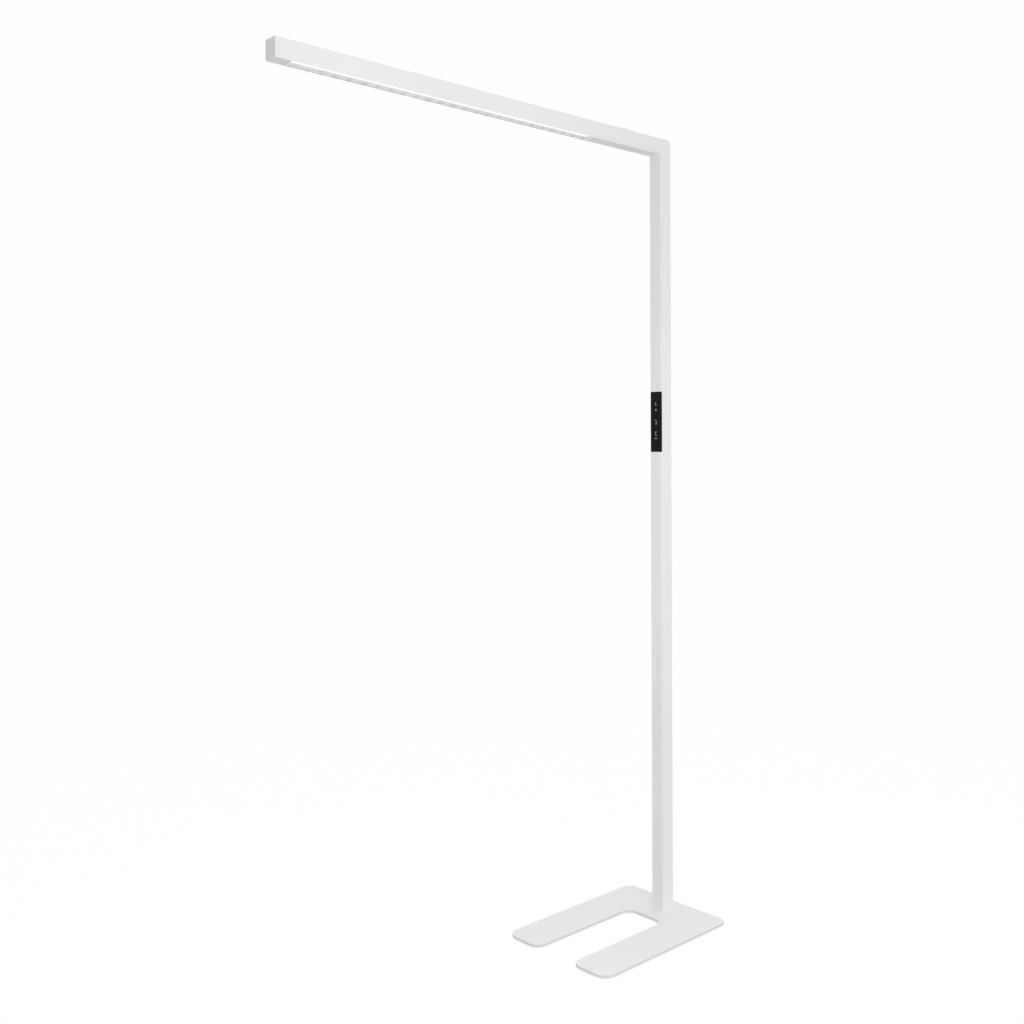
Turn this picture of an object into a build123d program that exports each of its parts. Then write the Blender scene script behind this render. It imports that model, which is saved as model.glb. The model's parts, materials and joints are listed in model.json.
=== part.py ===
"""Floor lamp with a fixed angled arm: U-shaped base, square-cornered tube frame, LED strip and keypad.

Frame: millimetres, +Z up.  The origin is on the floor, on the axis of the post.
+X runs along the arm, from the post towards the tip.
"""
from build123d import *
import os

os.makedirs("parts", exist_ok=True)

# ---------------------------------------------------------------- driving dimensions
lamp_height = 1950.0      # floor to the top of the arm
arm_reach = 1126.0        # post axis to the outer face of the end cap
fit = 0.05                # radial clearance of screws and spigots

# base
pad_thickness = 2.0
corner_pad_radius = 11.0
post_pad_radius = 26.0
back_pad_inset = 24.0     # back edge of the plate to the back pads
back_pad_spread = 134.0   # back pads from the middle line
front_pad_inset = 34.0
plate_thickness = 5.0
base_back_x = -55.0
base_front_x = 388.0
base_width = 320.0
slot_end_x = 66.0
slot_width = 112.0
back_corner_radius = 22.0
prong_outer_radius = 33.0
prong_inner_radius = 26.0
slot_corner_radius = 27.0
sheet_edge_radius = 0.6

# screwed foot of the post
foot_block_height = 40.0
post_screw_spacing = 20.0
post_screw_radius = 4.0   # M8
post_screw_clearance = 0.4
screw_head_radius = 8.2
screw_head_recess = 0.3   # head below the face of the plate
screw_grip = 22.0         # thread above the plate
post_hex = 2.5            # half of the hexagon key size, and the depth of its socket

# tube frame
tube_depth = 40.0         # post section along X, and the arm's height
tube_width = 35.0         # section across, along Y
tube_wall = 2.0
tube_edge_radius = 1.2    # long edges of the tube
elbow_outer_radius = 7.5  # dressed corner of the mitre
elbow_inner_radius = 1.0
end_cap_thickness = 4.0
tenon_length = 14.0
tenon_wall = 2.0

# elbow bracket and its grub screws
bracket_drop = 60.0       # length of the bracket's leg in the post
bracket_tip_x = 88.0
bracket_wall = 6.0
bracket_cheek = 5.5
grub_radius = 2.5         # M5
grub_length = 6.0
grub_hex = 1.25
grub_socket_depth = 2.5
grub_sunk = 0.2           # below the face of the tube
arm_grub_x = (45.0, 70.0)
post_grub_drop = (45.0, 25.0)   # below the underside of the arm

# cord gland and terminals
gland_z = 92.0
gland_bore_radius = 3.6   # for a round mains cord of about 7 mm
gland_body_radius = 6.0
gland_flange_radius = 9.0
gland_flange = 3.0
gland_flange_round = 1.2
gland_inner_length = 10.0
nut_across_flats = 17.0
nut_thickness = 4.0
terminal_width = 24.0
terminal_back_x = -6.0
terminal_front_x = 14.0
terminal_height = 18.0
terminal_pitch = 7.5
terminal_hole_radius = 1.8
terminal_hole_depth = 8.0
terminal_chamfer = 2.0

# keypad
panel_bottom_z = 1162.0
panel_top_z = 1314.0
panel_depth = 3.0         # how deep the keypad is let into the front of the post
panel_face = 2.0          # thickness of the keypad cover
panel_gap = 0.15
cover_clearance = 0.2
cover_clip = 1.4          # thickness of the cover's two inner walls
cover_clip_x = 4.0
key_travel = 0.8
key_width = 22.0
key_corner = 2.0
key_gap = 0.25
key_lip = 0.9
key_lip_thickness = 1.0
key_cap_thickness = 3.2
key_stem_radius = 2.2
key_stem_x = 12.2
keys = {
    "brighter": {"middle_z": 1282.5, "height": 20.0},
    "power": {"middle_z": 1237.0, "height": 24.0},
    "dimmer": {"middle_z": 1204.5, "height": 30.0},
}
symbol_depth = 0.6
symbol_stroke = 1.9
status_light_z = 1268.0
status_light_size = 5.0
status_light_gap = 0.4    # key mat to the light guide
control_board_front_x = 8.6
control_board_inset = 1.7  # from the inside of the tube
board_thickness = 1.6
mat_thickness = 1.0
mat_inset = 2.2
dome_foot_radius = 4.5
dome_top_radius = 2.6
dome_gap = 0.3            # rubber dome to key stem, beyond the key's travel
plug_back_x = 1.0
plug_half_width = 5.0
plug_height = 10.0

# light opening and LED module
recess_start_x = 262.0    # light opening in the underside of the arm
recess_end_x = 1091.0
recess_depth = 9.0        # mouth of the opening to the flat of the lens strip
mouth_lip = 0.8           # what the opening leaves of the bottom edge on each side
cell_count = 25           # lens cells along the opening
lens_tuck = 8.0           # how far the LED module runs on past the opening, towards the post
baffle_thickness = 2.0
baffle_overlap = 8.0      # height of the baffle above the lens plate
lens_plate = 1.5
lens_swell = 1.2
lens_joint = 1.0
lens_taper = 50.0
lens_inset = 1.2          # lens plate from the inside of the tube
reflector_thickness = 2.0 # at the lenses; it flares out to the sides of the mouth
reflector_sheet = 0.6     # its wall where it passes the bottom wall of the tube
reflector_set_back = 0.3  # bottom edge of the reflectors, above the underside of the arm
carrier_wall = 1.2
carrier_roof = 2.0
carrier_height = 16.0
led_board_width = 22.0
board_overhang = 10.0     # LED board past the start of the module, with its plug
board_end_gap = 1.0       # LED board to the tip end of the lens cells
led_plug_length = 8.0
led_plug_height = 7.0
chip_size = 3.0
chip_height = 0.8
board_screw_cells = (1, 7, 13, 19, 24)
board_screw_radius = 1.5
board_screw_head = 2.8
board_screw_head_height = 1.8
board_hole_clearance = 0.1
clip_count = 4
clip_sheet = 0.8
clip_width = 20.0
clip_profile = (4.0, 7.0, 11.0)   # half widths: crown, heel and foot

# driver and sensor in the plain part of the arm
driver_start_x = 92.0
driver_end_x = 232.0
driver_width = 24.0
driver_height = 22.0
driver_edge_radius = 2.0
driver_clip_width = 10.0
driver_clip_inset = 24.0
driver_clip_sheet = 1.0
sensor_x = 140.0
sensor_rim_radius = 12.5
sensor_height = 4.5
sensor_rim = 1.2          # upright part of the rim
sensor_spigot_radius = 9.0
sensor_spigot_bore = 7.4
sensor_spigot_length = 5.0
sensor_board_size = 22.0
sensor_chip_size = 5.0
sensor_chip_height = 2.4

# leads
cable_radius = 2.0
supply_lead_x = (4.0, -6.0)
control_lead_x = (4.0, -5.0)
lead_side_radius = 60.0
lead_swing_radius = 40.0
lead_elbow_radius = 18.0
supply_lead_rise = (65.0, 125.0)    # above the terminals: leaves one side, reaches the other
supply_lead_return = (85.0, 30.0)   # below its plug: leaves that side, back under the plug
control_lead_rise = (33.0, 98.0)    # above its plug: leaves one side, reaches the other
led_lead_drop = 3.5

# ---------------------------------------------------------------- derived positions
half_depth = tube_depth / 2
half_width = tube_width / 2
inner_half_depth = half_depth - tube_wall
inner_half_width = half_width - tube_wall
plate_top_z = pad_thickness + plate_thickness
foot_block_top_z = plate_top_z + foot_block_height
terminal_top_z = foot_block_top_z + terminal_height
arm_under_z = lamp_height - tube_depth
arm_mid_z = lamp_height - half_depth
arm_floor_z = arm_under_z + tube_wall
arm_ceiling_z = lamp_height - tube_wall
cap_inner_x = arm_reach - end_cap_thickness
post_grub_z = [arm_under_z - drop for drop in post_grub_drop]
mitre_plane = Plane(origin=(0, 0, arm_mid_z), x_dir=(0, 1, 0), z_dir=(1, 0, 1))


def front_plane(x):
    """Plane across the post at x, facing the tip: its local x is +Y and its local y is +Z."""
    return Plane(origin=(x, 0, 0), x_dir=(0, 1, 0), z_dir=(1, 0, 0))


def rear_plane(x, z=0.0):
    """Plane across the post at x, facing away from the arm."""
    return Plane(origin=(x, 0, z), x_dir=(0, -1, 0), z_dir=(-1, 0, 0))


def save(piece, name):
    """Label a finished piece and write it as its own STEP file."""
    piece.part.label = name
    export_step(piece.part, f"parts/{name}.step")


def block(low, high, mode=Mode.ADD):
    """Axis-aligned block from its lowest corner to its highest corner."""
    size = [b - a for a, b in zip(low, high)]
    middle = [(a + b) / 2 for a, b in zip(low, high)]
    with Locations(tuple(middle)):
        Box(*size, mode=mode)


def wall(side, outer, inner):
    """Low and high Y of a wall on one side of the tube."""
    return sorted((side * outer, side * inner))


# ================================================================ base
prong_mid_y = (base_width + slot_width) / 4
with BuildPart() as base_plate:
    with BuildSketch(Plane.XY.offset(pad_thickness)):
        with Locations(((base_back_x + base_front_x) / 2, 0)):
            Rectangle(base_front_x - base_back_x, base_width)
        with Locations(((slot_end_x + base_front_x) / 2, 0)):
            Rectangle(base_front_x - slot_end_x, slot_width, mode=Mode.SUBTRACT)
    extrude(amount=plate_thickness)
    back_corners, slot_corners, prong_corners = base_plate.edges().filter_by(Axis.Z).group_by(Axis.X)
    prong_corners = prong_corners.sort_by(Axis.Y)
    fillet(back_corners, back_corner_radius)
    fillet(slot_corners, slot_corner_radius)
    fillet(prong_corners[1:3], prong_inner_radius)
    fillet([prong_corners[0], prong_corners[3]], prong_outer_radius)
    fillet(base_plate.faces().sort_by(Axis.Z)[-1].edges(), sheet_edge_radius)
    # countersunk from below for the two screws that hold the post
    underside = Plane(origin=(0, 0, pad_thickness), x_dir=(1, 0, 0), z_dir=(0, 0, -1))
    with Locations(underside.location):
        with GridLocations(post_screw_spacing, 1, 2, 1):
            CounterSinkHole(post_screw_radius + post_screw_clearance,
                            screw_head_radius + post_screw_clearance, depth=plate_thickness)
save(base_plate, "base_plate")

with BuildPart() as foot_pads:
    with BuildSketch(Plane.XY):
        for side in (-1, 1):
            with Locations((base_back_x + back_pad_inset, side * back_pad_spread),
                           (base_front_x - front_pad_inset, side * prong_mid_y)):
                Circle(corner_pad_radius)
    extrude(amount=pad_thickness)
save(foot_pads, "foot_pads")

with BuildPart() as post_pad:
    Cylinder(post_pad_radius, pad_thickness, align=(Align.CENTER, Align.CENTER, Align.MIN))
save(post_pad, "post_pad")

# ================================================================ foot of the post
with BuildPart() as post_foot_block:
    block((-inner_half_depth, -inner_half_width, plate_top_z),
          (inner_half_depth, inner_half_width, foot_block_top_z))
    with Locations((0, 0, foot_block_top_z)):
        with GridLocations(post_screw_spacing, 1, 2, 1):
            Hole(post_screw_radius + fit)
save(post_foot_block, "post_foot_block")

screw_chamfer = 1.0
screw_top_z = plate_top_z + screw_grip
screw_head_z = pad_thickness + screw_head_recess
screw_neck_z = screw_head_z + screw_head_radius - post_screw_radius
with BuildPart() as post_screws:
    for screw_x in (-post_screw_spacing / 2, post_screw_spacing / 2):
        with BuildSketch(Plane(origin=(screw_x, 0, 0), x_dir=(1, 0, 0), z_dir=(0, -1, 0))):
            Polygon((0, screw_head_z), (screw_head_radius, screw_head_z), (post_screw_radius, screw_neck_z),
                    (post_screw_radius, screw_top_z - screw_chamfer),
                    (post_screw_radius - screw_chamfer, screw_top_z), (0, screw_top_z), align=None)
        revolve(axis=Axis((screw_x, 0, 0), (0, 0, 1)))
        with BuildSketch(Plane.XY.offset(screw_head_z)):
            with Locations((screw_x, 0)):
                RegularPolygon(post_hex, 6, major_radius=False)
        extrude(amount=post_hex, mode=Mode.SUBTRACT)
save(post_screws, "post_screws")


# ================================================================ tube frame
def frame_outline(inset, outer_radius, inner_radius):
    """Side view of the post and arm as one angle, set in from the outside by inset."""
    back = -half_depth + inset
    front = half_depth - inset
    top = lamp_height - inset
    under = arm_under_z + inset
    with BuildLine() as outline:
        corners = [(back, plate_top_z), (back, top), (cap_inner_x, top),
                   (cap_inner_x, under), (front, under), (front, plate_top_z)]
        FilletPolyline(*corners, radius=[0, outer_radius, 0, 0, inner_radius, 0], close=True)
    make_face(outline.edges())


def is_tube_end(edge):
    """True for an edge at the foot of the post or at the tip of the arm."""
    centre = edge.center()
    return abs(centre.Z - plate_top_z) < fit or abs(centre.X - cap_inner_x) < fit


def frame_tube(keep):
    """Rectangular tube with a mitred elbow; keep chooses the post or the arm."""
    with BuildPart() as tube:
        with BuildSketch(Plane.XZ):
            frame_outline(0, elbow_outer_radius, elbow_inner_radius)
        extrude(amount=half_width, both=True)
        long_edges = [e for e in tube.faces().filter_by(Axis.Y).edges() if not is_tube_end(e)]
        fillet(long_edges, tube_edge_radius)
        with BuildSketch(Plane.XZ):
            frame_outline(tube_wall, elbow_outer_radius - tube_wall, elbow_inner_radius)
        extrude(amount=inner_half_width, both=True, mode=Mode.SUBTRACT)
        split(bisect_by=mitre_plane, keep=keep)
    return tube


with BuildPart() as post_tube:
    add(frame_tube(Keep.BOTTOM).part)
    # notch for the keypad, across the whole front
    block((half_depth - panel_depth, -tube_width, panel_bottom_z),
          (half_depth + panel_depth, tube_width, panel_top_z), mode=Mode.SUBTRACT)
    # cord gland low on the back, two grub screws high on the back
    with BuildSketch(rear_plane(-half_depth)):
        with Locations((0, gland_z)):
            Circle(gland_body_radius + fit)
        with Locations(*[(0, z) for z in post_grub_z]):
            Circle(grub_radius + fit)
    extrude(amount=-tube_wall, mode=Mode.SUBTRACT)
save(post_tube, "post_tube")

with BuildPart() as arm_tube:
    add(frame_tube(Keep.TOP).part)
    # light opening through the bottom wall, leaving a thin lip along each side
    block((recess_start_x, -half_width + mouth_lip, arm_under_z - tube_wall),
          (recess_end_x, half_width - mouth_lip, arm_floor_z), mode=Mode.SUBTRACT)
    with BuildSketch(Plane.XY.offset(lamp_height)):
        with Locations(*[(x, 0) for x in arm_grub_x]):
            Circle(grub_radius + fit)
        with Locations((sensor_x, 0)):
            Circle(sensor_spigot_radius + fit)
    extrude(amount=-tube_wall, mode=Mode.SUBTRACT)
save(arm_tube, "arm_tube")

# ---------------------------------------------------------------- elbow connector inside the mitre
channel_half_depth = inner_half_depth - bracket_wall
channel_half_width = inner_half_width - bracket_cheek
bracket_foot_z = arm_under_z - bracket_drop
with BuildPart() as corner_bracket:
    block((-inner_half_depth, -inner_half_width, bracket_foot_z),
          (inner_half_depth, inner_half_width, arm_ceiling_z))
    block((-inner_half_depth, -inner_half_width, arm_floor_z),
          (bracket_tip_x, inner_half_width, arm_ceiling_z))
    block((-channel_half_depth, -channel_half_width, bracket_foot_z),
          (channel_half_depth, channel_half_width, arm_mid_z + channel_half_depth), mode=Mode.SUBTRACT)
    block((-channel_half_depth, -channel_half_width, arm_mid_z - channel_half_depth),
          (bracket_tip_x, channel_half_width, arm_mid_z + channel_half_depth), mode=Mode.SUBTRACT)
    elbow_back = corner_bracket.edges().filter_by(Axis.Y).group_by(Axis.Z)[-1].sort_by(Axis.X)[0]
    fillet(elbow_back, elbow_outer_radius - tube_wall)
    with Locations(*[(x, 0, arm_ceiling_z) for x in arm_grub_x]):
        Hole(grub_radius + fit, depth=bracket_wall)
    with BuildSketch(rear_plane(-inner_half_depth)):
        with Locations(*[(0, z) for z in post_grub_z]):
            Circle(grub_radius + fit)
    extrude(amount=-bracket_wall, mode=Mode.SUBTRACT)
save(corner_bracket, "corner_bracket")

with BuildPart() as corner_screws:
    arm_row = (Plane.XY.offset(lamp_height - grub_sunk), [(x, 0) for x in arm_grub_x])
    post_row = (rear_plane(-half_depth + grub_sunk), [(0, z) for z in post_grub_z])
    for face, places in (arm_row, post_row):
        with BuildSketch(face):
            with Locations(*places):
                Circle(grub_radius)
        extrude(amount=-grub_length)
        with BuildSketch(face):
            with Locations(*places):
                RegularPolygon(grub_hex, 6, major_radius=False)
        extrude(amount=-grub_socket_depth, mode=Mode.SUBTRACT)
save(corner_screws, "corner_screws")

# ---------------------------------------------------------------- end cap with a hollow tenon
tenon_end = 1.0           # solid end of the tenon, behind the face of the cap
with BuildPart() as arm_end_cap:
    block((cap_inner_x, -half_width, arm_under_z), (arm_reach, half_width, lamp_height))
    fillet(arm_end_cap.edges().filter_by(Axis.X), tube_edge_radius)
    fillet(arm_end_cap.faces().sort_by(Axis.X)[-1].edges(), sheet_edge_radius)
    block((cap_inner_x - tenon_length, -inner_half_width, arm_floor_z),
          (cap_inner_x, inner_half_width, arm_ceiling_z))
    block((cap_inner_x - tenon_length, -inner_half_width + tenon_wall, arm_floor_z + tenon_wall),
          (cap_inner_x - tenon_end, inner_half_width - tenon_wall, arm_ceiling_z - tenon_wall),
          mode=Mode.SUBTRACT)
save(arm_end_cap, "arm_end_cap")

# ================================================================ cord gland and mains terminals
gland_plane = rear_plane(-half_depth, gland_z)
with BuildPart() as cord_gland:
    with BuildSketch(gland_plane):
        Circle(gland_flange_radius)
    extrude(amount=gland_flange)
    fillet(cord_gland.edges().filter_by(GeomType.CIRCLE).sort_by(Axis.X)[0], gland_flange_round)
    with BuildSketch(gland_plane):
        Circle(gland_body_radius)
    extrude(amount=-gland_inner_length)
    with BuildSketch(gland_plane.offset(gland_flange)):
        Circle(gland_bore_radius)
    extrude(amount=-(gland_flange + gland_inner_length), mode=Mode.SUBTRACT)
save(cord_gland, "cord_gland")

with BuildPart() as gland_nut:
    with BuildSketch(gland_plane.offset(-tube_wall)):
        RegularPolygon(nut_across_flats / 2, 6, major_radius=False)
        Circle(gland_body_radius + fit, mode=Mode.SUBTRACT)
    extrude(amount=-nut_thickness)
save(gland_nut, "gland_nut")

terminal_mid_x = 1.0
with BuildPart() as terminal_block:
    block((terminal_back_x, -terminal_width / 2, foot_block_top_z),
          (terminal_front_x, terminal_width / 2, terminal_top_z))
    chamfer(terminal_block.edges().filter_by(Axis.Y).group_by(Axis.Z)[-1], terminal_chamfer)
    with Locations((terminal_mid_x, 0, terminal_top_z)):
        with GridLocations(1, terminal_pitch, 1, 3):
            Hole(terminal_hole_radius, depth=terminal_hole_depth)
save(terminal_block, "terminal_block")


# ================================================================ keypad in the post
def arc_stroke(start, middle, end):
    """Pen stroke of constant width along one arc."""
    with BuildLine() as pen:
        ThreePointArc(start, middle, end)
    trace(pen.edges(), line_width=symbol_stroke)


def dot(place, radius):
    """Round end of a stroke."""
    with Locations(place):
        Circle(radius)


def brighter_symbol():
    """Comma with a heavy head: raise the light."""
    arc_stroke((-0.6, 3.6), (-1.5, 0.2), (1.2, -3.4))
    dot((-1.0, 3.2), 1.9)
    dot((1.2, -3.2), 1.4)


def power_symbol():
    """Half ring that ends in a heavy drop: on and off."""
    arc_stroke((-1.4, 4.6), (2.6, 0.8), (0.8, -4.0))
    dot((-1.0, 4.4), 1.8)
    dot((0.7, -3.6), 2.2)


def dimmer_symbol():
    """Twin drops above a cup: lower the light."""
    arc_stroke((0.2, 8.4), (-1.9, 4.4), (0.8, 0.2))
    dot((0.0, 8.0), 2.0)
    dot((0.6, 0.0), 1.7)
    arc_stroke((-4.6, -6.6), (0.2, -9.2), (5.0, -6.6))


symbols = {"brighter": brighter_symbol, "power": power_symbol, "dimmer": dimmer_symbol}


def key_plane(name):
    """Front face of a key, with its local y upright and its origin at the middle of the key."""
    return Plane(origin=(half_depth, 0, keys[name]["middle_z"]), x_dir=(0, 1, 0), z_dir=(1, 0, 0))


cover_bottom_z = panel_bottom_z + panel_gap
cover_top_z = panel_top_z - panel_gap
cover_half_width = inner_half_width - cover_clearance
clip_margin = 4.0         # the cover's inner walls stop short of its ends
with BuildPart() as control_cover:
    # face and side returns fill the notch in the tube; two inner walls clip into the tube
    block((half_depth - panel_depth, -half_width, cover_bottom_z), (half_depth, half_width, cover_top_z))
    fillet(control_cover.edges().filter_by(Axis.Z).sort_by(Axis.X)[-2:], tube_edge_radius)
    block((half_depth - panel_depth - panel_face, -cover_half_width, panel_bottom_z),
          (half_depth - panel_face, cover_half_width, panel_top_z), mode=Mode.SUBTRACT)
    for side in (-1, 1):
        low_y, high_y = wall(side, cover_half_width, cover_half_width - cover_clip)
        block((cover_clip_x, low_y, cover_bottom_z + clip_margin),
              (half_depth - panel_face, high_y, cover_top_z - clip_margin))
    with BuildSketch(front_plane(half_depth)):
        for key in keys.values():
            with Locations((0, key["middle_z"])):
                RectangleRounded(key_width + 2 * key_gap, key["height"] + 2 * key_gap, key_corner)
        with Locations((0, status_light_z)):
            Rectangle(status_light_size, status_light_size)
    extrude(amount=-panel_face, mode=Mode.SUBTRACT)
save(control_cover, "control_cover")

key_back_x = half_depth - key_cap_thickness
for name, key in keys.items():
    with BuildPart() as key_cap:
        with BuildSketch(front_plane(half_depth)):
            with Locations((0, key["middle_z"])):
                RectangleRounded(key_width, key["height"], key_corner - key_gap)
        extrude(amount=-key_cap_thickness)
        # lip behind the cover keeps the key in; the stem presses the rubber dome
        with BuildSketch(front_plane(key_back_x)):
            with Locations((0, key["middle_z"])):
                RectangleRounded(key_width + 2 * key_lip, key["height"] + 2 * key_lip, key_corner)
        extrude(amount=key_lip_thickness)
        with BuildSketch(front_plane(key_stem_x)):
            with Locations((0, key["middle_z"])):
                Circle(key_stem_radius)
        extrude(amount=key_back_x - key_stem_x)
        with BuildSketch(key_plane(name)):
            symbols[name]()
        extrude(amount=-symbol_depth, mode=Mode.SUBTRACT)
    save(key_cap, f"key_{name}")
    with BuildPart() as key_symbol:
        with BuildSketch(key_plane(name)):
            symbols[name]()
        extrude(amount=-symbol_depth)
    save(key_symbol, f"symbol_{name}")

mat_front_x = control_board_front_x + mat_thickness
light_guide_x = mat_front_x + status_light_gap
with BuildPart() as status_light:
    with BuildSketch(front_plane(light_guide_x)):
        with Locations((0, status_light_z)):
            Rectangle(status_light_size, status_light_size)
    extrude(amount=half_depth - light_guide_x)
save(status_light, "status_light")

mat_margin = 14.0         # from the ends of the panel
with BuildPart() as key_mat:
    block((control_board_front_x, -inner_half_width + mat_inset, panel_bottom_z + mat_margin),
          (mat_front_x, inner_half_width - mat_inset, panel_top_z - mat_margin))
    for key in keys.values():
        with BuildSketch(front_plane(mat_front_x)):
            with Locations((0, key["middle_z"])):
                Circle(dome_foot_radius)
        with BuildSketch(front_plane(key_stem_x - key_travel - dome_gap)):
            with Locations((0, key["middle_z"])):
                Circle(dome_top_radius)
        loft()
save(key_mat, "key_mat")

board_margin = 8.0        # from the ends of the panel
plug_margin = 12.0
board_back_x = control_board_front_x - board_thickness
lower_plug_z = panel_bottom_z + plug_margin
upper_plug_z = panel_top_z - plug_margin
with BuildPart() as control_board:
    block((board_back_x, -inner_half_width + control_board_inset, panel_bottom_z + board_margin),
          (control_board_front_x, inner_half_width - control_board_inset, panel_top_z - board_margin))
    for low_z in (lower_plug_z, upper_plug_z - plug_height):
        block((plug_back_x, -plug_half_width, low_z), (board_back_x, plug_half_width, low_z + plug_height))
save(control_board, "control_board")

# ================================================================ LED module in the arm
module_start_x = recess_start_x - lens_tuck
cell_start_x = module_start_x + baffle_thickness
cell_end_x = recess_end_x - baffle_thickness
cell_pitch = (cell_end_x - cell_start_x) / cell_count
cell_centres = [cell_start_x + (i + 0.5) * cell_pitch for i in range(cell_count)]
lens_z = arm_under_z + recess_depth
reflector_face = inner_half_width - reflector_thickness

with BuildPart() as lens_strip:
    block((cell_start_x, -inner_half_width + lens_inset, lens_z),
          (cell_end_x, inner_half_width - lens_inset, lens_z + lens_plate))
    for x in cell_centres:
        with BuildSketch(Plane.XY.offset(lens_z)):
            with Locations((x, 0)):
                Rectangle(cell_pitch - lens_joint, 2 * (reflector_face - fit))
        extrude(amount=-lens_swell, taper=lens_taper)
save(lens_strip, "lens_strip")

mouth_half_width = half_width - mouth_lip
reflector_foot = mouth_half_width - fit
reflector_low_z = arm_under_z + reflector_set_back
reflector_profile = [
    (reflector_face, lens_z),
    (inner_half_width, lens_z),
    (inner_half_width, arm_floor_z),
    (reflector_foot, arm_floor_z),
    (reflector_foot, reflector_low_z),
    (reflector_foot - reflector_sheet, reflector_low_z),
    (inner_half_width - reflector_sheet, arm_floor_z),
]
for side, name in ((1, "side_reflector_near"), (-1, "side_reflector_far")):
    with BuildPart() as side_reflector:
        # flared wall, down to the mouth, with a step that sits on the bottom wall of the tube
        with BuildSketch(Plane.YZ.offset(cell_start_x)):
            Polygon(*[(side * y, z) for y, z in reflector_profile], align=None)
        extrude(amount=cell_end_x - cell_start_x)
        block((cell_start_x, -half_width, arm_under_z), (recess_start_x + fit, half_width, arm_floor_z),
              mode=Mode.SUBTRACT)
    save(side_reflector, name)

with BuildPart() as end_baffles:
    # wall at the post end, behind the edge of the opening; wall and foot at the tip end
    for low_x in (module_start_x, cell_end_x):
        block((low_x, -inner_half_width, arm_floor_z),
              (low_x + baffle_thickness, inner_half_width, lens_z + baffle_overlap))
    block((cell_end_x, -mouth_half_width, arm_under_z), (recess_end_x, mouth_half_width, arm_floor_z))
save(end_baffles, "end_baffles")

carrier_top_z = lens_z + carrier_height
board_top_z = carrier_top_z - carrier_roof
board_low_z = board_top_z - board_thickness
with BuildPart() as led_carrier:
    block((cell_start_x, -inner_half_width, lens_z), (cell_end_x, inner_half_width, carrier_top_z))
    block((module_start_x, -inner_half_width + carrier_wall, arm_floor_z),
          (recess_end_x, inner_half_width - carrier_wall, board_top_z), mode=Mode.SUBTRACT)
save(led_carrier, "led_carrier")

board_start_x = module_start_x - board_overhang
board_screw_x = [cell_start_x + cell_pitch * n for n in board_screw_cells]
with BuildPart() as led_board:
    block((board_start_x, -led_board_width / 2, board_low_z),
          (cell_end_x - board_end_gap, led_board_width / 2, board_top_z))
    block((board_start_x, -plug_half_width, board_low_z - led_plug_height),
          (board_start_x + led_plug_length, plug_half_width, board_low_z))
    with BuildSketch(Plane.XY.offset(board_top_z)):
        with Locations(*[(x, 0) for x in board_screw_x]):
            Circle(board_screw_radius + board_hole_clearance)
    extrude(amount=-board_thickness, mode=Mode.SUBTRACT)
save(led_board, "led_board")

chip_half = chip_size / 2
with BuildPart() as led_chips:
    for x in cell_centres:
        for chip_x in (x - cell_pitch / 4, x + cell_pitch / 4):
            block((chip_x - chip_half, -chip_half, board_low_z - chip_height),
                  (chip_x + chip_half, chip_half, board_low_z))
save(led_chips, "led_chips")

with BuildPart() as board_screws:
    head = (board_screw_head, -board_screw_head_height)
    thread = (board_screw_radius, board_thickness)
    for radius, length in (head, thread):
        with BuildSketch(Plane.XY.offset(board_low_z)):
            with Locations(*[(x, 0) for x in board_screw_x]):
                Circle(radius)
        extrude(amount=length)
save(board_screws, "board_screws")

foot_z = carrier_top_z + clip_sheet / 2
crown_z = arm_ceiling_z - clip_sheet / 2
crown_y, heel_y, foot_y = clip_profile
clip_corners = [(-foot_y, foot_z), (-heel_y, foot_z), (-crown_y, crown_z),
                (crown_y, crown_z), (heel_y, foot_z), (foot_y, foot_z)]
with BuildPart() as carrier_clips:
    for i in range(clip_count):
        clip_x = recess_start_x + (i + 0.5) * (recess_end_x - recess_start_x) / clip_count
        with BuildSketch(Plane.YZ.offset(clip_x - clip_width / 2)):
            with BuildLine():
                offset(Polyline(*clip_corners), clip_sheet / 2)
            make_face()
        extrude(amount=clip_width)
save(carrier_clips, "carrier_clips")

# ---------------------------------------------------------------- driver in the plain part of the arm
driver_top_z = arm_floor_z + driver_height
strap_top_z = driver_top_z + driver_clip_sheet
with BuildPart() as led_driver:
    block((driver_start_x, -driver_width / 2, arm_floor_z), (driver_end_x, driver_width / 2, driver_top_z))
    fillet(led_driver.edges().filter_by(Axis.X).group_by(Axis.Z)[-1], driver_edge_radius)
save(led_driver, "led_driver")

with BuildPart() as driver_clips:
    for low_x in (driver_start_x + driver_clip_inset, driver_end_x - driver_clip_inset - driver_clip_width):
        high_x = low_x + driver_clip_width
        block((low_x, -inner_half_width, driver_top_z), (high_x, inner_half_width, strap_top_z))
        for side in (-1, 1):
            low_y, high_y = wall(side, inner_half_width, inner_half_width - driver_clip_sheet)
            block((low_x, low_y, arm_floor_z), (high_x, high_y, strap_top_z))
save(driver_clips, "driver_clips")

# ---------------------------------------------------------------- light sensor on top of the arm
with BuildPart() as sensor_cap:
    with BuildSketch(Plane.XY.offset(lamp_height)):
        with Locations((sensor_x, 0)):
            Circle(sensor_rim_radius)
    extrude(amount=sensor_height)
    fillet(sensor_cap.edges().sort_by(Axis.Z)[-1], sensor_height - sensor_rim)
    with BuildSketch(Plane.XY.offset(lamp_height)):
        with Locations((sensor_x, 0)):
            Circle(sensor_spigot_radius)
            Circle(sensor_spigot_bore, mode=Mode.SUBTRACT)
    extrude(amount=-sensor_spigot_length)
save(sensor_cap, "sensor_cap")

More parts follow.
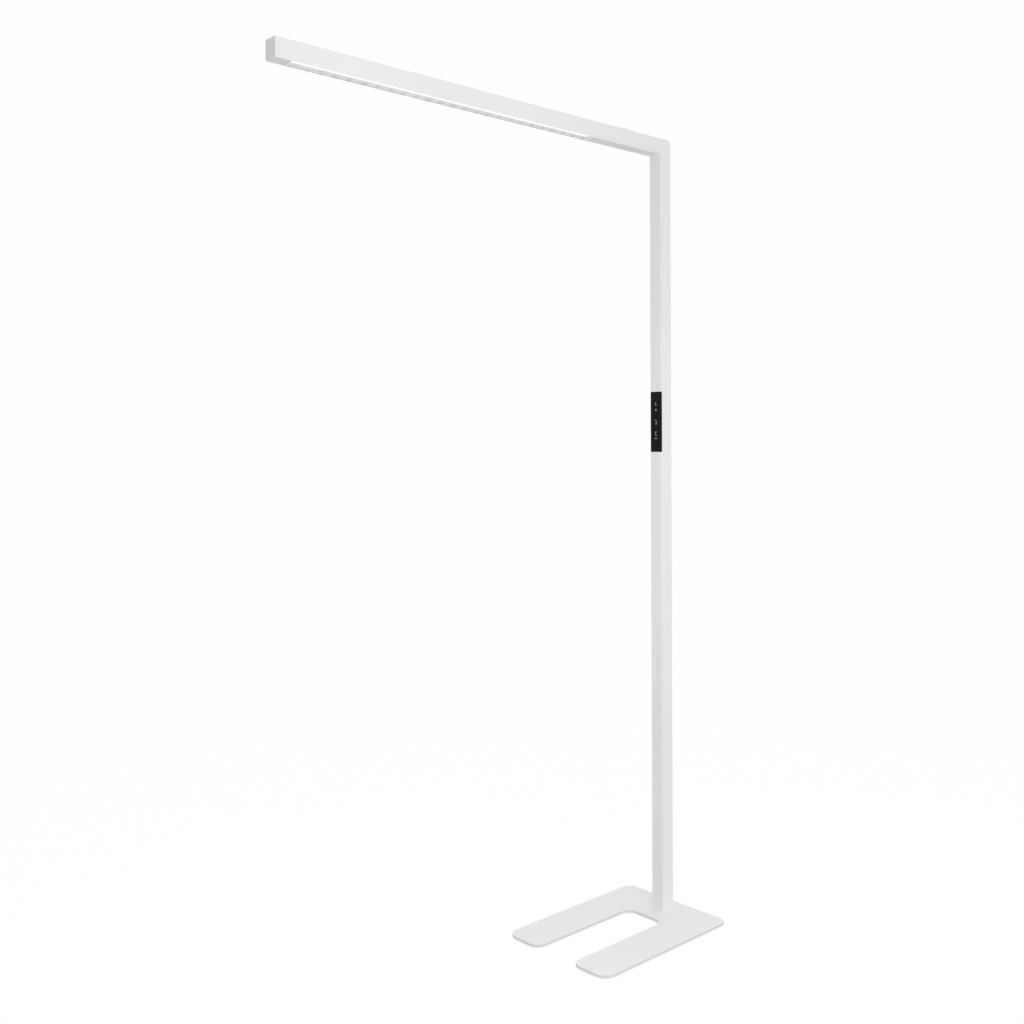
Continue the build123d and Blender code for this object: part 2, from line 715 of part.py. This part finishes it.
sensor_board_top_z = lamp_height - sensor_spigot_length
sensor_half = sensor_board_size / 2
sensor_chip_half = sensor_chip_size / 2
with BuildPart() as sensor_board:
    block((sensor_x - sensor_half, -sensor_half, sensor_board_top_z - board_thickness),
          (sensor_x + sensor_half, sensor_half, sensor_board_top_z))
    block((sensor_x - sensor_chip_half, -sensor_chip_half, sensor_board_top_z),
          (sensor_x + sensor_chip_half, sensor_chip_half, sensor_board_top_z + sensor_chip_height))
save(sensor_board, "sensor_board")


# ================================================================ leads inside the frame
def lead(points, radii, name):
    """Round insulated lead along straight runs joined by tangent arcs."""
    with BuildPart() as wire:
        with BuildLine() as route:
            if radii:
                FilletPolyline(*points, radius=radii)
            else:
                Line(*points)
        with BuildSketch(Plane(origin=route.wire() @ 0, z_dir=route.wire() % 0)):
            Circle(cable_radius)
        sweep(path=route.wire())
    save(wire, name)


near_x, far_x = supply_lead_x
leave_rise, reach_rise = supply_lead_rise
leave_drop, reach_drop = supply_lead_return
supply_route = [
    (near_x, 0, terminal_top_z),
    (near_x, 0, terminal_top_z + leave_rise),
    (far_x, 0, terminal_top_z + reach_rise),
    (far_x, 0, lower_plug_z - leave_drop),
    (near_x, 0, lower_plug_z - reach_drop),
    (near_x, 0, lower_plug_z),
]
lead(supply_route, [lead_side_radius] * 3 + [lead_swing_radius], "supply_lead")

near_x, far_x = control_lead_x
leave_rise, reach_rise = control_lead_rise
driver_lead_z = arm_floor_z + driver_height / 2
control_route = [
    (near_x, 0, upper_plug_z),
    (near_x, 0, upper_plug_z + leave_rise),
    (far_x, 0, upper_plug_z + reach_rise),
    (far_x, 0, driver_lead_z),
    (driver_start_x, 0, driver_lead_z),
]
lead(control_route, [lead_swing_radius, lead_side_radius, lead_elbow_radius], "control_lead")

led_lead_z = board_low_z - led_lead_drop
lead([(driver_end_x, 0, led_lead_z), (board_start_x, 0, led_lead_z)], None, "led_lead")
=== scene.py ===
"""Looks for the fixed-arm floor lamp: powder-coated steel frame, lit lens strip, black keypad.

Everything is in metres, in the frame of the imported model: +Z up, +X along the arm,
origin on the floor under the post.
"""
import json
import math

import bmesh
import bpy
from mathutils import Matrix, Vector


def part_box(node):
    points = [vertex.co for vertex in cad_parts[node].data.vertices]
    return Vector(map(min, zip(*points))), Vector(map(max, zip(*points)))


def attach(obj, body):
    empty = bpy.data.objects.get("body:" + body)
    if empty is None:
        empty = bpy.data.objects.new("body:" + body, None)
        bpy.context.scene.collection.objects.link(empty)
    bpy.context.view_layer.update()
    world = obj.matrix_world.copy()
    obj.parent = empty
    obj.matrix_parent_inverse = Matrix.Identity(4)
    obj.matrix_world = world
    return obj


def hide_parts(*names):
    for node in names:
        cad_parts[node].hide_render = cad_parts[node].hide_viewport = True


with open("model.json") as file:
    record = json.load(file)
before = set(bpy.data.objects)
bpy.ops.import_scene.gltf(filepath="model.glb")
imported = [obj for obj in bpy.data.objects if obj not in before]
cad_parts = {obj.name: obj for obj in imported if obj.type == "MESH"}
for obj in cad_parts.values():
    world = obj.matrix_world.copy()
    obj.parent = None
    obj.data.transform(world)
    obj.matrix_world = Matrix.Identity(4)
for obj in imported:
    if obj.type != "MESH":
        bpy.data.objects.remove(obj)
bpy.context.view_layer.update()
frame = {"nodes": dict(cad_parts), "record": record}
nodes = frame["nodes"]

MM = 0.001

# ================================================ camera: level, with a lowered frame
CAMERA_PLACE = Vector((2.2587, 1.8928, 1.1991))
CAMERA_HEADING = math.radians(-132.673)    # direction of view in the XY plane, from +X
QUARTER_TURN = math.pi / 2
CAMERA_ROLL = math.radians(-0.2045)
FOCAL_LENGTH_MM = 40.545
SENSOR_WIDTH_MM = 36.0
VIEW_END = 200.0
FRAME_SHIFT = -0.0725                      # more of the picture lies below the horizon


def add_camera():
    """Camera at the photograph's viewing angle."""
    data = bpy.data.cameras.new("camera")
    data.sensor_width = SENSOR_WIDTH_MM
    data.lens = FOCAL_LENGTH_MM
    data.shift_y = FRAME_SHIFT
    data.clip_end = VIEW_END
    camera = bpy.data.objects.new("camera", data)
    heading = Matrix.Rotation(CAMERA_HEADING - QUARTER_TURN, 4, "Z")
    level = Matrix.Rotation(QUARTER_TURN, 4, "X")
    roll = Matrix.Rotation(CAMERA_ROLL, 4, "Z")
    camera.matrix_world = Matrix.Translation(CAMERA_PLACE) @ heading @ level @ roll
    bpy.context.scene.collection.objects.link(camera)
    bpy.context.scene.camera = camera


add_camera()


# ================================================ material helpers
class Surface:
    """A new material, with short calls for the nodes that its functions need."""

    def __init__(self, name, color, roughness, metallic=0.0):
        self.material = bpy.data.materials.new(name)
        self.material.use_nodes = True
        self.tree = self.material.node_tree
        self.shader = self.tree.nodes["Principled BSDF"]
        self.set("Base Color", (*color, 1.0))
        self.set("Roughness", roughness)
        self.set("Metallic", metallic)
        self.place = self.tree.nodes.new("ShaderNodeTexCoord").outputs["Object"]

    def set(self, socket, value):
        self.shader.inputs[socket].default_value = value

    def link(self, source, target):
        self.tree.links.new(source, target)

    def node(self, kind, inputs=None, **settings):
        made = self.tree.nodes.new(kind)
        for key, value in settings.items():
            setattr(made, key, value)
        for key, value in (inputs or {}).items():
            if isinstance(value, bpy.types.NodeSocket):
                self.link(value, made.inputs[key])
            else:
                made.inputs[key].default_value = value
        return made

    def stretched(self, scale):
        """Object coordinates, scaled by a different amount along each axis."""
        made = self.node("ShaderNodeMapping", {"Vector": self.place, "Scale": scale})
        return made.outputs["Vector"]

    def noise(self, scale, detail=3.0, roughness=0.5, vector=None):
        """Noise with the given number of features per metre."""
        made = self.node("ShaderNodeTexNoise", {
            "Vector": vector or self.place, "Scale": scale,
            "Detail": detail, "Roughness": roughness})
        return made.outputs["Fac"]

    def ramp(self, factor, low=0.0, high=1.0, from_low=0.0, from_high=1.0):
        """Factor remapped to a number between low and high."""
        made = self.node("ShaderNodeMapRange", {
            "Value": factor, "From Min": from_low, "From Max": from_high,
            "To Min": low, "To Max": high})
        return made.outputs["Result"]

    def math(self, operation, first, second=0.0):
        made = self.node("ShaderNodeMath", {0: first, 1: second}, operation=operation)
        return made.outputs[0]

    def mix(self, factor, first, second):
        """Colour between first and second."""
        made = self.node("ShaderNodeMix", {"Factor": factor}, data_type="RGBA")
        color_a, color_b, color_out = made.inputs[6], made.inputs[7], made.outputs[2]
        for socket, value in ((color_a, first), (color_b, second)):
            if isinstance(value, bpy.types.NodeSocket):
                self.link(value, socket)
            else:
                socket.default_value = (*value, 1.0)
        return color_out

    def color_from(self, source):
        self.link(source, self.shader.inputs["Base Color"])

    def tone_from(self, factor, color, dark, light, spread=(0.3, 0.7)):
        """Base colour that varies between two tints as the factor crosses the spread."""
        blend = self.ramp(factor, from_low=spread[0], from_high=spread[1])
        self.color_from(self.mix(blend, tinted(color, dark), tinted(color, light)))

    def gloss_from(self, factor, low, high, spread=(0.3, 0.7)):
        """Roughness that varies between low and high as the factor crosses the spread."""
        roughness = self.ramp(factor, low, high, from_low=spread[0], from_high=spread[1])
        self.link(roughness, self.shader.inputs["Roughness"])

    def bump(self, height, strength, distance, under=None):
        made = self.node("ShaderNodeBump", {
            "Height": height, "Strength": strength, "Distance": distance})
        if under is not None:
            self.link(under, made.inputs["Normal"])
        self.link(made.outputs["Normal"], self.shader.inputs["Normal"])
        return made.outputs["Normal"]


def tinted(color, factor):
    return tuple(min(1.0, c * factor) for c in color)


# ================================================ materials, one function per finish
def powder_coat(name, color):
    """Matt white powder coat: orange-peel skin, fine speckle and a hardly visible drift in tone."""
    s = Surface(name, color, 0.5)
    drift = s.noise(3.0, detail=2.0)
    speckle = s.noise(1400.0, detail=2.0, roughness=0.7)
    drifting = s.ramp(drift, from_low=0.3, from_high=0.7)
    body = s.mix(drifting, tinted(color, 0.975), tinted(color, 1.015))
    grain = s.ramp(speckle, high=0.5, from_low=0.62, from_high=0.8)
    s.color_from(s.mix(grain, body, tinted(color, 0.86)))
    s.gloss_from(s.noise(260.0, detail=4.0), 0.44, 0.6, spread=(0.25, 0.75))
    peel = s.bump(s.noise(520.0, detail=2.0, roughness=0.4), strength=0.35, distance=0.12 * MM)
    s.bump(speckle, strength=0.25, distance=0.04 * MM, under=peel)
    return s.material


DUST_GREY = (0.05, 0.05, 0.052)


def satin_black(name, color):
    """Satin black acrylic with faint wiping marks and a little dust."""
    s = Surface(name, color, 0.3)
    wipes = s.noise(60.0, detail=4.0, roughness=0.6, vector=s.stretched((1.0, 1.0, 0.12)))
    dust = s.ramp(s.noise(2600.0, detail=1.0), high=0.35, from_low=0.7, from_high=0.8)
    s.color_from(s.mix(dust, color, DUST_GREY))
    s.gloss_from(wipes, 0.24, 0.42)
    s.bump(s.noise(900.0, detail=2.0), strength=0.12, distance=0.03 * MM)
    s.set("Specular IOR Level", 0.12)
    return s.material


def light_guide(name, color):
    """Light grey translucent symbol, slightly clouded."""
    s = Surface(name, color, 0.4)
    cloud = s.noise(900.0)
    s.tone_from(cloud, color, 0.85, 1.12, spread=(0.35, 0.65))
    s.bump(cloud, strength=0.2, distance=0.03 * MM)
    s.set("Subsurface Weight", 0.1)
    s.set("Subsurface Radius", (0.4 * MM, 0.4 * MM, 0.4 * MM))
    return s.material


def moulded_rubber(name, color):
    """Dull rubber with a pebbled skin."""
    s = Surface(name, color, 0.75)
    pebble = s.node("ShaderNodeTexVoronoi", {"Vector": s.place, "Scale": 1100.0})
    bloom = s.noise(140.0, detail=4.0)
    s.tone_from(bloom, color, 0.88, 1.18)
    s.gloss_from(bloom, 0.66, 0.86)
    s.bump(pebble.outputs["Distance"], strength=0.4, distance=0.1 * MM)
    return s.material


def moulded_plastic(name, color):
    """Spark-textured moulded plastic."""
    s = Surface(name, color, 0.5)
    texture = s.noise(1500.0, roughness=0.6)
    flow = s.noise(45.0, detail=2.0, vector=s.stretched((0.3, 1.0, 1.0)))
    s.tone_from(flow, color, 0.96, 1.02)
    s.gloss_from(texture, 0.42, 0.6)
    s.bump(texture, strength=0.3, distance=0.04 * MM)
    return s.material


def worked_metal(name, color, roughness, lay):
    """Bare metal with tool marks; lay holds the features per metre along each axis."""
    s = Surface(name, color, roughness, metallic=1.0)
    marks = s.noise(1.0, detail=5.0, roughness=0.65, vector=s.stretched(lay))
    stain = s.noise(70.0, detail=4.0, roughness=0.55)
    s.tone_from(stain, color, 0.86, 1.06, spread=(0.35, 0.7))
    s.gloss_from(marks, roughness - 0.08, roughness + 0.12)
    s.bump(marks, strength=0.3, distance=0.03 * MM)
    return s.material


def circuit_board(name, color):
    """Solder mask with the faint relief of copper tracks underneath."""
    s = Surface(name, color, 0.35)
    tracks = s.node("ShaderNodeTexBrick", {
        "Vector": s.stretched((90.0, 260.0, 90.0)), "Scale": 1.0, "Mortar Size": 0.06,
        "Color1": (1.0, 1.0, 1.0, 1.0), "Color2": (0.6, 0.6, 0.6, 1.0),
        "Mortar": (0.0, 0.0, 0.0, 1.0)}).outputs["Color"]
    s.color_from(s.mix(tracks, tinted(color, 0.6), tinted(color, 1.3)))
    s.gloss_from(s.noise(400.0), 0.3, 0.5)
    s.bump(tracks, strength=0.3, distance=0.03 * MM)
    return s.material


CHIP_LIGHT = (1.0, 0.97, 0.9, 1.0)
CHIP_GLOW = 2.0


def phosphor(name, color):
    """Yellow phosphor of an LED chip, grainy and glowing."""
    s = Surface(name, color, 0.5)
    grain = s.noise(4000.0, detail=2.0)
    s.tone_from(grain, color, 0.8, 1.1)
    s.bump(grain, strength=0.3, distance=0.03 * MM)
    s.set("Emission Color", CHIP_LIGHT)
    s.set("Emission Strength", CHIP_GLOW)
    return s.material


CELLS = 25                   # lens cells along the light opening
CHIPS_PER_CELL = 2.0
LENS_DARKENED = 0.5          # a lit lens reflects less of the room than its plain colour
LENS_GLOW = 0.9
LENS_BRIGHT = (1.0, 0.985, 0.95)      # over a chip
LENS_DIM = (0.80, 0.78, 0.73)         # between chips and towards the long edges
PAINTED_SHADOW_TONE = 0.76            # painted shadow: grey patches on the side reflectors, at the mouth
TOP_PAINTED_SHADOW_TONE = 0.96        # painted shadow, at the lenses
PAINTED_SHADE_AT_MOUTH = 0.88            # painted shade: the reflectors get darker from the lenses down to the mouth
PAINTED_SHADOW_SLANT = 0.25           # how far a painted shadow patch leans over the height of the reflector, in cells


def split_place(s):
    """Sockets with the X, Y and Z of the object coordinates."""
    return s.node("ShaderNodeSeparateXYZ", {"Vector": s.place}).outputs


def cells_along(s, x, low, high):
    """How many cells x is from the start of a strip."""
    return s.math("MULTIPLY", s.math("SUBTRACT", x, low.x), CELLS / (high.x - low.x))


def lit_lens(name, color):
    """Frosted lens lit from behind by two chips, so each cell has two soft bright spots."""
    s = Surface(name, tinted(color, LENS_DARKENED), 0.3)
    low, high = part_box("lens_strip")
    x, y, _ = split_place(s)
    chips = s.math("MULTIPLY", cells_along(s, x, low, high), CHIPS_PER_CELL)
    from_chip = s.math("ABSOLUTE", s.math("SUBTRACT", s.math("FRACT", chips), 0.5))
    across = s.math("ABSOLUTE", s.math("MULTIPLY", y, 2.0 / (high.y - low.y)))
    dim = s.math("ADD", s.math("MULTIPLY", from_chip, 0.5), s.math("MULTIPLY", across, 0.3))
    frost = s.ramp(s.noise(700.0), low=-0.05, high=0.05, from_low=0.3, from_high=0.7)
    glow = s.mix(s.math("ADD", dim, frost), LENS_BRIGHT, LENS_DIM)
    s.link(glow, s.shader.inputs["Emission Color"])
    s.set("Emission Strength", LENS_GLOW)
    s.gloss_from(s.noise(700.0), 0.22, 0.4)
    s.bump(s.noise(1800.0, detail=2.0), strength=0.2, distance=0.03 * MM)
    return s.material


def bright_reflector(name, color):
    """Pale satin reflector, with painted shade darkening it towards its mouth and a soft painted
    shadow patch in each cell.
    """
    s = Surface(name, color, 0.32)
    low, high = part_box("side_reflector_far")
    x, _, z = split_place(s)
    rise = s.ramp(z, from_low=low.z, from_high=high.z)
    lean = s.math("MULTIPLY", rise, PAINTED_SHADOW_SLANT)
    slanted = s.math("ADD", cells_along(s, x, low, high), lean)
    wave = s.math("COSINE", s.math("MULTIPLY", slanted, 2 * math.pi))
    cloud = s.noise(90.0, roughness=0.6)
    uneven = s.ramp(cloud, low=-0.7, high=0.7, from_low=0.25, from_high=0.75)
    # painted shadow: a soft grey patch in each cell, leaning as it rises
    painted_shadow = s.ramp(s.math("SUBTRACT", uneven, wave), from_low=-0.3, from_high=1.3)
    # painted shade: darker from the lenses down to the mouth, for the plain wall and for the
    # painted shadows
    plain_with_painted_shade = s.mix(rise, tinted(color, PAINTED_SHADE_AT_MOUTH), color)
    grey = s.mix(rise, tinted(color, PAINTED_SHADE_AT_MOUTH * PAINTED_SHADOW_TONE), tinted(color, TOP_PAINTED_SHADOW_TONE))
    s.color_from(s.mix(painted_shadow, plain_with_painted_shade, grey))
    ripple = s.noise(110.0, roughness=0.6)
    s.gloss_from(ripple, 0.26, 0.42)
    s.bump(ripple, strength=0.4, distance=0.3 * MM)
    return s.material


FINISHES = {
    "base_paint": powder_coat, "frame_paint": powder_coat, "cap_paint": powder_coat,
    "baffle_paint": powder_coat, "foot_rubber": moulded_rubber, "silicone": moulded_rubber,
    "cable_sheath": moulded_rubber, "panel_black": satin_black, "key_black": satin_black,
    "symbol_grey": light_guide, "circuit_board": circuit_board, "led_phosphor": phosphor,
    "lens_plastic": lit_lens, "reflector": bright_reflector, "white_plastic": moulded_plastic,
    "sensor_plastic": moulded_plastic, "driver_case": moulded_plastic,
}
METALS = {                   # roughness, then the tool marks per metre along each axis
    "zinc_steel": (0.34, (900.0, 900.0, 90.0)),
    "spring_steel": (0.28, (60.0, 900.0, 900.0)),
    "cast_metal": (0.42, (40.0, 700.0, 700.0)),
}


def finish_for(slot, color):
    """The finished material of one of the record's material slots."""
    if slot in METALS:
        return worked_metal(slot, color, *METALS[slot])
    return FINISHES[slot](slot, color)


finishes = {}
for listed in frame["record"]["materials"]:
    finishes[listed["slot"]] = finish_for(listed["slot"], listed["base_color"][:3])
for entry in frame["record"]["subparts"]:
    mesh = nodes[entry["node"]].data
    if not mesh.materials:
        mesh.materials.append(None)
    for index in range(len(mesh.materials)):
        mesh.materials[index] = finishes[entry["material_slot"]]


# ================================================ optics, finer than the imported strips
def smooth_step(t):
    t = max(0.0, min(1.0, t))
    return t * t * (3.0 - 2.0 * t)


def relief_block(name, columns, rows, front, back):
    """Closed block between two faces; front and back each map (column, row) to a point."""
    shape = bmesh.new()

    def grid(place):
        return [[shape.verts.new(place(i, j)) for j in range(rows + 1)]
                for i in range(columns + 1)]

    near, far = grid(front), grid(back)
    for i in range(columns):
        for j in range(rows):
            shape.faces.new((near[i][j], near[i + 1][j], near[i + 1][j + 1], near[i][j + 1]))
            shape.faces.new((far[i][j], far[i][j + 1], far[i + 1][j + 1], far[i + 1][j]))
    for i in range(columns):
        shape.faces.new((near[i][0], far[i][0], far[i + 1][0], near[i + 1][0]))
        shape.faces.new((near[i][rows], near[i + 1][rows], far[i + 1][rows], far[i][rows]))
    for j in range(rows):
        shape.faces.new((near[0][j], near[0][j + 1], far[0][j + 1], far[0][j]))
        shape.faces.new((near[-1][j], far[-1][j], far[-1][j + 1], near[-1][j + 1]))
    bmesh.ops.recalc_face_normals(shape, faces=shape.faces)
    mesh = bpy.data.meshes.new(name)
    shape.to_mesh(mesh)
    shape.free()
    piece = bpy.data.objects.new(name, mesh)
    bpy.context.scene.collection.objects.link(piece)
    return piece


def dress(piece, slot, node, smooth=True):
    """Give a piece its finish, let it ride on the frame and let it stand for its CAD node."""
    piece.data.materials.append(finishes[slot])
    for polygon in piece.data.polygons:
        polygon.use_smooth = smooth
    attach(piece, "frame")
    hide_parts(node)


def add_lens_array():
    """One moulded strip of pillow lenses, with flat joints between them."""
    low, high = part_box("lens_strip")
    swell = 1.2 * MM
    per_cell, rows = 20, 16
    columns = CELLS * per_cell
    pitch = (high.x - low.x) / CELLS
    joint = 0.6 * MM
    margin = 1.2 * MM
    shoulder = 3.5 * MM

    def pillow(x, y):
        inside_x = pitch / 2 - abs((x - low.x) % pitch - pitch / 2) - joint
        inside_y = min(y - low.y, high.y - y) - margin
        return smooth_step(inside_x / shoulder) * smooth_step(inside_y / shoulder)

    def place(i, j):
        return low.x + (high.x - low.x) * i / columns, low.y + (high.y - low.y) * j / rows

    def under(i, j):
        x, y = place(i, j)
        return Vector((x, y, low.z + swell * (1.0 - pillow(x, y))))

    def over(i, j):
        x, y = place(i, j)
        return Vector((x, y, high.z))

    dress(relief_block("lens_array", columns, rows, under, over), "lens_plastic", "lens_strip")


LENS_TUCK = 6.0 * MM         # the optics run on past the opening, above the bottom wall of the tube
REFLECTOR_TOP = 2.0 * MM     # thickness of a side reflector at the lenses
REFLECTOR_SHEET = 0.6 * MM   # and where it passes the bottom wall


def add_side_reflector(name, node, side):
    """Flared wall beside the lenses: shallow flutes in each cell, a rib between cells."""
    low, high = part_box(node)
    carrier_low, carrier_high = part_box("led_carrier")
    tube_side = max(abs(carrier_low.y), abs(carrier_high.y))
    wall_top_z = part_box("driver_clips")[0].z
    foot_y = max(abs(low.y), abs(high.y))
    per_cell, rows = 32, 10
    columns = CELLS * per_cell
    pitch = (high.x - low.x) / CELLS
    flutes = 4
    flute_depth = 0.35 * MM
    rib_half, rib_reach = 1.1 * MM, 1.3 * MM
    lip = 1.0 * MM

    def face_y(z):
        """Distance of the plain flared face from the middle of the arm."""
        if z < wall_top_z:
            t = (z - low.z) / (wall_top_z - low.z)
            return foot_y - REFLECTOR_SHEET + t * (tube_side - foot_y)
        t = (z - wall_top_z) / (high.z - wall_top_z)
        return tube_side - REFLECTOR_SHEET + t * (REFLECTOR_SHEET - REFLECTOR_TOP)

    def relief(x, z):
        phase = (x - low.x) % pitch
        to_rib = min(phase, pitch - phase)
        end_cell = min(x - low.x, high.x - x) < pitch / 2
        crest = 0.0 if end_cell else max(0.0, 1.0 - to_rib / rib_half)
        rib = crest * smooth_step((z - low.z - lip) / lip)
        flute = abs(math.sin(math.pi * flutes * phase / pitch))
        return rib * rib_reach - flute_depth * flute * smooth_step((z - wall_top_z) / lip)

    def place(i, j):
        x = low.x + (high.x - low.x) * i / columns
        start_z = wall_top_z if x < low.x + LENS_TUCK + MM else low.z
        return x, start_z + (high.z - start_z) * j / rows

    def face(i, j):
        x, z = place(i, j)
        return Vector((x, side * (face_y(z) - relief(x, z)), z))

    def back(i, j):
        x, z = place(i, j)
        return Vector((x, side * (tube_side if z >= wall_top_z else foot_y), z))

    dress(relief_block(name, columns, rows, face, back), "reflector", node, smooth=False)


add_lens_array()
add_side_reflector("fluted_reflector_near", "side_reflector_near", 1)
add_side_reflector("fluted_reflector_far", "side_reflector_far", -1)


# ================================================ stage
WHITE = (1.0, 1.0, 1.0, 1.0)
FLOOR_RADIUS = 60.0
FLOOR_SEGMENTS = 96
FLOOR_WHITE = 0.1            # reflectance of the floor; the rest of its tone is its own glow
FLOOR_GLOW = 0.915
FROM_BELOW = 0.54            # what the floor gives back to the lamp's undersides
FROM_UNDER_BASE = 0.36       # the same, at the edge of the base
BASE_SHADE_REACH = 0.05      # how far that shade reaches beyond the base
CONTACT_SHADOW_REACH = 6.0 * MM     # painted contact shadow: the narrow dark line where the base stands on the floor
CONTACT_SHADOW_GLOW = 0.6
CONTACT_SAMPLES = 8


def light_from_below(s):
    """Strength of the floor's weak light: even, but shaded close to the base plate."""
    low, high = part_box("base_plate")
    x, y, _ = split_place(s)
    squares = []
    for place, near, far in ((x, low.x, high.x), (y, low.y, high.y)):
        from_middle = s.math("ABSOLUTE", s.math("SUBTRACT", place, (near + far) / 2))
        beyond = s.math("MAXIMUM", s.math("SUBTRACT", from_middle, (far - near) / 2), 0.0)
        squares.append(s.math("MULTIPLY", beyond, beyond))
    distance = s.math("POWER", s.math("ADD", *squares), 0.5)
    return s.ramp(distance, FROM_UNDER_BASE, FROM_BELOW, from_high=BASE_SHADE_REACH)


def add_floor():
    """Plain pale floor that reaches the horizon, with a painted contact shadow at the base, and
    lights the lamp only weakly from below.
    """
    mesh = bpy.data.meshes.new("floor")
    shape = bmesh.new()
    bmesh.ops.create_circle(shape, cap_ends=True, segments=FLOOR_SEGMENTS, radius=FLOOR_RADIUS)
    shape.to_mesh(mesh)
    shape.free()
    floor = bpy.data.objects.new("floor", mesh)
    bpy.context.scene.collection.objects.link(floor)
    grey = (FLOOR_WHITE,) * 3
    s = Surface("pale_floor", grey, 0.9)
    s.color_from(s.mix(s.noise(40.0, detail=4.0), tinted(grey, 0.99), tinted(grey, 1.01)))
    s.set("Specular IOR Level", 0.0)
    s.set("Emission Color", WHITE)
    # painted contact shadow: the floor's glow dims where ambient occlusion finds the base close by
    contact_shadow = s.node("ShaderNodeAmbientOcclusion", {"Distance": CONTACT_SHADOW_REACH},
                     samples=CONTACT_SAMPLES)
    glow = s.ramp(contact_shadow.outputs["AO"], CONTACT_SHADOW_GLOW, FLOOR_GLOW)
    s.link(glow, s.shader.inputs["Emission Strength"])
    weak = s.node("ShaderNodeEmission", {"Color": WHITE, "Strength": light_from_below(s)})
    seen = s.node("ShaderNodeLightPath").outputs["Is Camera Ray"]
    both = s.node("ShaderNodeMixShader", {"Fac": seen})
    s.link(weak.outputs[0], both.inputs[1])
    s.link(s.shader.outputs[0], both.inputs[2])
    s.link(both.outputs[0], s.tree.nodes["Material Output"].inputs["Surface"])
    mesh.materials.append(s.material)


SURROUND_WHITE = 0.99        # what the camera sees behind the lamp
HORIZON_GLOW = 0.66
ZENITH_GLOW = 0.83
SURROUND_TINT = (1.0, 0.992, 1.005, 1.0)
FRONT_FALL = 0.19            # how much weaker the glow is towards +X, and stronger towards -X


def add_world():
    """White studio surround that lights the lamp mostly from above and from behind the post."""
    world = bpy.data.worlds.new("studio")
    bpy.context.scene.world = world
    world.use_nodes = True
    tree = world.node_tree

    def math_node(operation, first, second=0.0):
        made = tree.nodes.new("ShaderNodeMath")
        made.operation = operation
        for socket, value in zip(made.inputs, (first, second)):
            if isinstance(value, bpy.types.NodeSocket):
                tree.links.new(value, socket)
            else:
                socket.default_value = value
        return made.outputs[0]

    view = tree.nodes.new("ShaderNodeTexCoord").outputs["Generated"]
    direction = tree.nodes.new("ShaderNodeSeparateXYZ")
    tree.links.new(view, direction.inputs["Vector"])
    x, _, z = direction.outputs
    glow = math_node("ADD", math_node("MULTIPLY", z, ZENITH_GLOW - HORIZON_GLOW), HORIZON_GLOW)
    glow = math_node("SUBTRACT", glow, math_node("MULTIPLY", x, FRONT_FALL))
    background = tree.nodes["Background"]
    background.inputs["Color"].default_value = SURROUND_TINT
    tree.links.new(glow, background.inputs["Strength"])
    white = tree.nodes.new("ShaderNodeBackground")
    white.inputs["Color"].default_value = WHITE
    white.inputs["Strength"].default_value = SURROUND_WHITE
    seen = tree.nodes.new("ShaderNodeLightPath")
    both = tree.nodes.new("ShaderNodeMixShader")
    tree.links.new(seen.outputs["Is Camera Ray"], both.inputs["Fac"])
    tree.links.new(background.outputs[0], both.inputs[1])
    tree.links.new(white.outputs[0], both.inputs[2])
    tree.links.new(both.outputs[0], tree.nodes["World Output"].inputs["Surface"])


def add_soft_light(name, place, target, size, power, color):
    """Square softbox at place, aimed at target; the camera doesn't see it."""
    data = bpy.data.lights.new(name, "AREA")
    data.shape = "SQUARE"
    data.size = size
    data.energy = power
    data.color = color
    light = bpy.data.objects.new(name, data)
    light.location = place
    light.visible_camera = False
    light.rotation_euler = (Vector(target) - Vector(place)).to_track_quat("-Z", "Y").to_euler()
    bpy.context.scene.collection.objects.link(light)


add_floor()
add_world()
add_soft_light("main_softbox", place=(1.5, 2.0, 1.2), target=(0.3, 0.0, 1.2),
               size=1.4, power=15.8, color=(1.0, 0.985, 0.965))
add_soft_light("post_softbox", place=(1.0, 0.7, 0.9), target=(0.0, 0.0, 1.1),
               size=0.7, power=1.96, color=(0.95, 0.97, 1.0))
bpy.context.scene.view_settings.view_transform = "Standard"
